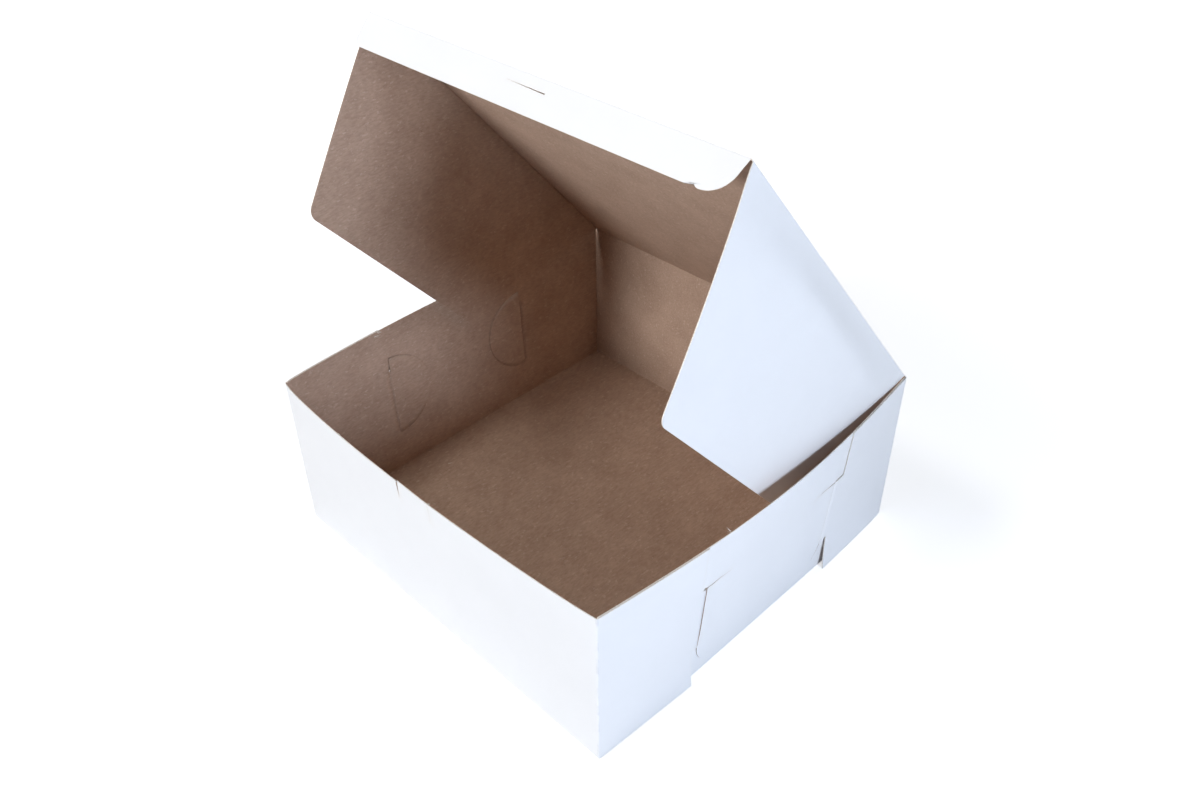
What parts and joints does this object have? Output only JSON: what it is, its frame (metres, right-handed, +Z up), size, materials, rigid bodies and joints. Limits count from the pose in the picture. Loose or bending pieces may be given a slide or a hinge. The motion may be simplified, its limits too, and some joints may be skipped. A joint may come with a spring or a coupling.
{
  "type": "bakery box",
  "caption": "Square one-piece bakery box of thin white-faced board, standing open: bowed walls locked by corner ears, hinged lid with side flaps and a front tuck flap.",
  "frame": {"origin": "centre of the floor panel's underside, on the table", "axes": "+Z up; the front wall faces -Y and the lid is hinged along the back wall at +Y; +X to the right when facing the front wall from outside"},
  "size_m": [0.2698, 0.261, 0.2982],
  "materials": {
    "board": "satin"
  },
  "bodies": {
    "tray": {"tray": "board"},
    "lid": {"lid": "board"},
    "left_flap": {"left_flap": "board"},
    "right_flap": {"right_flap": "board"},
    "tuck_flap": {"tuck_flap": "board"}
  },
  "joints": [
    {"name": "lid_hinge", "type": "hinge", "parent": "tray", "child": "lid", "pos_m": [0, 0.12675, 0.1064], "axis": [-1, 0, 0], "range_deg": [-49.3, 150]},
    {"name": "left_flap_fold", "type": "hinge", "parent": "lid", "child": "left_flap", "pos_m": [-0.1249, 0.0444, 0.20176], "axis": [0, -0.6521, 0.7581], "range_deg": [0, 85]},
    {"name": "right_flap_fold", "type": "hinge", "parent": "lid", "child": "right_flap", "pos_m": [0.1249, 0.0444, 0.20176], "axis": [0, 0.6521, -0.7581], "range_deg": [0, 85]},
    {"name": "tuck_flap_fold", "type": "hinge", "parent": "lid", "child": "tuck_flap", "pos_m": [0, -0.03804, 0.29798], "axis": [-1, 0, 0], "range_deg": [0, 90]}
  ]
}
